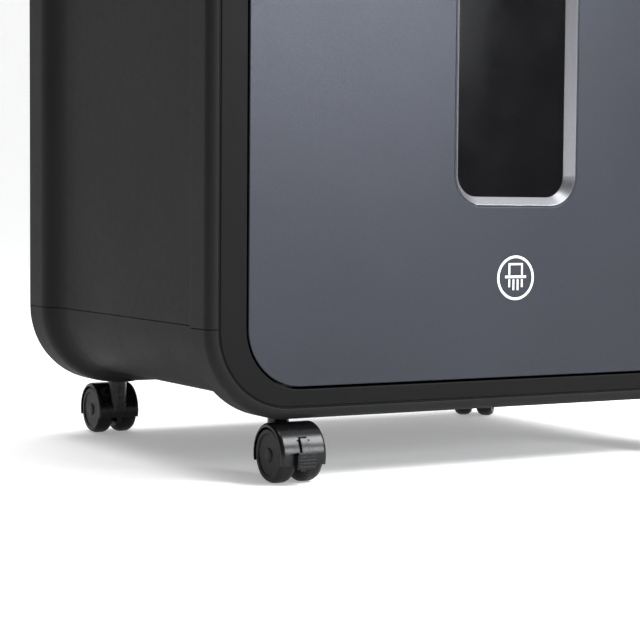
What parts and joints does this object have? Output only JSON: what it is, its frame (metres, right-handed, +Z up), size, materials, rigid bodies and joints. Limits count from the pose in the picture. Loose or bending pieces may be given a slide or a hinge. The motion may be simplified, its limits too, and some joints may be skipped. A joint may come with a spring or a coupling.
{
  "type": "paper shredder",
  "caption": "Office paper shredder with a pull-out bin behind a flush front, a top feed slot and twin-wheel swivel casters under a rounded cabinet.",
  "frame": {"origin": "on the floor under the middle of the object's overall box", "axes": "+Z up, front faces -Y, +X to the right seen from the front"},
  "size_m": [0.41, 0.3018, 0.585],
  "materials": {
    "shell": "satin black moulded shell",
    "pan": "satin black moulded pan",
    "bezel": "satin black bezel",
    "gunmetal": "gunmetal metallic paint on plastic",
    "silver": "silver paint on the window bevel",
    "smoke": "smoked window",
    "bin": "grained grey bin",
    "trim": "black trim",
    "lens": "dark indicator strip",
    "button": "grey push buttons",
    "rocker": "black rocker",
    "steel": "zinc plated steel",
    "tool_steel": "ground tool steel",
    "gear_steel": "sintered steel, oiled",
    "nylon": "natural nylon",
    "bronze": "oil-filled bronze",
    "motor_paint": "painted motor can",
    "armature": "laminated core and windings",
    "board": "circuit board",
    "caster_hood": "satin black nylon hood",
    "caster_wheel": "black nylon wheel",
    "plated": "plated pins"
  },
  "bodies": {
    "cabinet": {"front_bezel": "bezel", "base_pan": "pan", "caster_sockets": "nylon", "side_panel_left": "shell", "side_panel_right": "shell", "head_cover": "shell", "feed_throat": "trim", "rear_panel": "shell", "case_screws": "plated", "bin_runners": "trim", "head_tray": "trim", "cutter_plate_left": "steel", "cutter_plate_right": "steel", "shaft_bushings": "bronze", "plate_rods": "steel", "stripper_combs": "nylon", "motor_can": "motor_paint", "gearbox_cover": "trim", "control_fascia": "gunmetal", "indicator_lens": "lens", "control_board": "board", "interlock_switch": "trim", "power_inlet": "trim", "inlet_pins": "plated"},
    "drawer": {"bin_front": "gunmetal", "window_frame": "silver", "window_lens": "smoke", "bin_shell": "bin"},
    "front_roll": {"cutter_roll_front": "tool_steel", "sync_gear_front": "gear_steel"},
    "rear_roll": {"cutter_roll_rear": "tool_steel", "sync_gear_rear": "gear_steel", "drive_gear": "gear_steel"},
    "second_gear_body": {"second_gear": "gear_steel"},
    "first_gear_body": {"first_gear": "nylon"},
    "rotor": {"motor_rotor": "armature"},
    "reverse_button": {"button_reverse": "button"},
    "power_button": {"button_power": "button"},
    "forward_button": {"button_forward": "button"},
    "rocker": {"rocker_key": "rocker"},
    "paper_sensor": {"sensor_lever": "trim"},
    "interlock": {"interlock_plunger": "trim"},
    "caster_front_left": {"caster_front_left_hood": "caster_hood", "caster_front_left_pins": "plated"},
    "caster_front_left_left_wheel": {"caster_front_left_wheel_left": "caster_wheel"},
    "caster_front_left_right_wheel": {"caster_front_left_wheel_right": "caster_wheel"},
    "caster_front_left_brake_lever": {"caster_front_left_brake": "caster_hood"},
    "caster_front_right": {"caster_front_right_hood": "caster_hood", "caster_front_right_pins": "plated"},
    "caster_front_right_left_wheel": {"caster_front_right_wheel_left": "caster_wheel"},
    "caster_front_right_right_wheel": {"caster_front_right_wheel_right": "caster_wheel"},
    "caster_front_right_brake_lever": {"caster_front_right_brake": "caster_hood"},
    "caster_rear_left": {"caster_rear_left_hood": "caster_hood", "caster_rear_left_pins": "plated"},
    "caster_rear_left_left_wheel": {"caster_rear_left_wheel_left": "caster_wheel"},
    "caster_rear_left_right_wheel": {"caster_rear_left_wheel_right": "caster_wheel"},
    "caster_rear_right": {"caster_rear_right_hood": "caster_hood", "caster_rear_right_pins": "plated"},
    "caster_rear_right_left_wheel": {"caster_rear_right_wheel_left": "caster_wheel"},
    "caster_rear_right_right_wheel": {"caster_rear_right_wheel_right": "caster_wheel"}
  },
  "joints": [
    {"name": "drawer_slide", "type": "slide", "parent": "cabinet", "child": "drawer", "axis": [0, -1, 0], "range_m": [0, 0.23]},
    {"name": "rear_roll_spin", "type": "hinge", "parent": "cabinet", "child": "rear_roll", "pos_m": [0, 0.0195, 0.48], "axis": [1, 0, 0], "continuous": true},
    {"name": "front_roll_spin", "type": "hinge", "parent": "cabinet", "child": "front_roll", "pos_m": [0, -0.0195, 0.48], "axis": [1, 0, 0], "continuous": true},
    {"name": "second_gear_spin", "type": "hinge", "parent": "cabinet", "child": "second_gear_body", "pos_m": [0, 0.06086, 0.47271], "axis": [1, 0, 0], "continuous": true},
    {"name": "first_gear_spin", "type": "hinge", "parent": "cabinet", "child": "first_gear_body", "pos_m": [0, 0.0797, 0.49919], "axis": [1, 0, 0], "continuous": true},
    {"name": "rotor_spin", "type": "hinge", "parent": "cabinet", "child": "rotor", "pos_m": [0, 0.096, 0.474], "axis": [1, 0, 0], "continuous": true},
    {"name": "reverse_button_press", "type": "slide", "parent": "cabinet", "child": "reverse_button", "axis": [0, 1, 0], "range_m": [0, 0.0015], "stiffness_N_per_m": 300},
    {"name": "power_button_press", "type": "slide", "parent": "cabinet", "child": "power_button", "axis": [0, 1, 0], "range_m": [0, 0.0015], "stiffness_N_per_m": 300},
    {"name": "forward_button_press", "type": "slide", "parent": "cabinet", "child": "forward_button", "axis": [0, 1, 0], "range_m": [0, 0.0015], "stiffness_N_per_m": 300},
    {"name": "rocker_tilt", "type": "hinge", "parent": "cabinet", "child": "rocker", "pos_m": [-0.16, 0.1378, 0.497], "axis": [1, 0, 0], "range_deg": [0, 16]},
    {"name": "paper_sensor_swing", "type": "hinge", "parent": "cabinet", "child": "paper_sensor", "pos_m": [0, 0.012, 0.556], "axis": [1, 0, 0], "range_deg": [0, 25], "stiffness_Nm_per_rad": 0.004},
    {"name": "interlock_drop", "type": "slide", "parent": "cabinet", "child": "interlock", "axis": [0, 0, -1], "range_m": [0, 0.003]},
    {"name": "caster_front_left_swivel", "type": "hinge", "parent": "cabinet", "child": "caster_front_left", "pos_m": [-0.1486, -0.1147, 0.05], "axis": [0, 0, 1], "continuous": true},
    {"name": "caster_front_left_left_roll", "type": "hinge", "parent": "caster_front_left", "child": "caster_front_left_left_wheel", "pos_m": [-0.1486, -0.1285, 0.016], "axis": [1, 0, 0], "continuous": true},
    {"name": "caster_front_left_right_roll", "type": "hinge", "parent": "caster_front_left", "child": "caster_front_left_right_wheel", "pos_m": [-0.1486, -0.1285, 0.016], "axis": [1, 0, 0], "continuous": true},
    {"name": "caster_front_left_brake", "type": "hinge", "parent": "caster_front_left", "child": "caster_front_left_brake_lever", "pos_m": [-0.1486, -0.14363, 0.02509], "axis": [-1, 0, 0], "range_deg": [0, 18]},
    {"name": "caster_front_right_swivel", "type": "hinge", "parent": "cabinet", "child": "caster_front_right", "pos_m": [0.1486, -0.1147, 0.05], "axis": [0, 0, 1], "continuous": true},
    {"name": "caster_front_right_left_roll", "type": "hinge", "parent": "caster_front_right", "child": "caster_front_right_left_wheel", "pos_m": [0.1486, -0.1285, 0.016], "axis": [1, 0, 0], "continuous": true},
    {"name": "caster_front_right_right_roll", "type": "hinge", "parent": "caster_front_right", "child": "caster_front_right_right_wheel", "pos_m": [0.1486, -0.1285, 0.016], "axis": [1, 0, 0], "continuous": true},
    {"name": "caster_front_right_brake", "type": "hinge", "parent": "caster_front_right", "child": "caster_front_right_brake_lever", "pos_m": [0.1486, -0.14363, 0.02509], "axis": [-1, 0, 0], "range_deg": [0, 18]},
    {"name": "caster_rear_left_swivel", "type": "hinge", "parent": "cabinet", "child": "caster_rear_left", "pos_m": [-0.1486, 0.1188, 0.05], "axis": [0, 0, 1], "continuous": true},
    {"name": "caster_rear_left_left_roll", "type": "hinge", "parent": "caster_rear_left", "child": "caster_rear_left_left_wheel", "pos_m": [-0.1486, 0.1326, 0.016], "axis": [-1, 0, 0], "continuous": true},
    {"name": "caster_rear_left_right_roll", "type": "hinge", "parent": "caster_rear_left", "child": "caster_rear_left_right_wheel", "pos_m": [-0.1486, 0.1326, 0.016], "axis": [-1, 0, 0], "continuous": true},
    {"name": "caster_rear_right_swivel", "type": "hinge", "parent": "cabinet", "child": "caster_rear_right", "pos_m": [0.1486, 0.1188, 0.05], "axis": [0, 0, 1], "continuous": true},
    {"name": "caster_rear_right_left_roll", "type": "hinge", "parent": "caster_rear_right", "child": "caster_rear_right_left_wheel", "pos_m": [0.13949, 0.10843, 0.016], "axis": [0.7513, -0.66, 0], "continuous": true},
    {"name": "caster_rear_right_right_roll", "type": "hinge", "parent": "caster_rear_right", "child": "caster_rear_right_right_wheel", "pos_m": [0.13949, 0.10843, 0.016], "axis": [0.7513, -0.66, 0], "continuous": true}
  ],
  "couplings": [
    {"joint": "front_roll_spin", "follows": "rear_roll_spin", "ratio": -1},
    {"joint": "second_gear_spin", "follows": "rear_roll_spin", "ratio": -3.6667},
    {"joint": "first_gear_spin", "follows": "rear_roll_spin", "ratio": 11},
    {"joint": "rotor_spin", "follows": "rear_roll_spin", "ratio": -33},
    {"joint": "interlock_drop", "follows": "drawer_slide", "ratio": 0.013043}
  ]
}
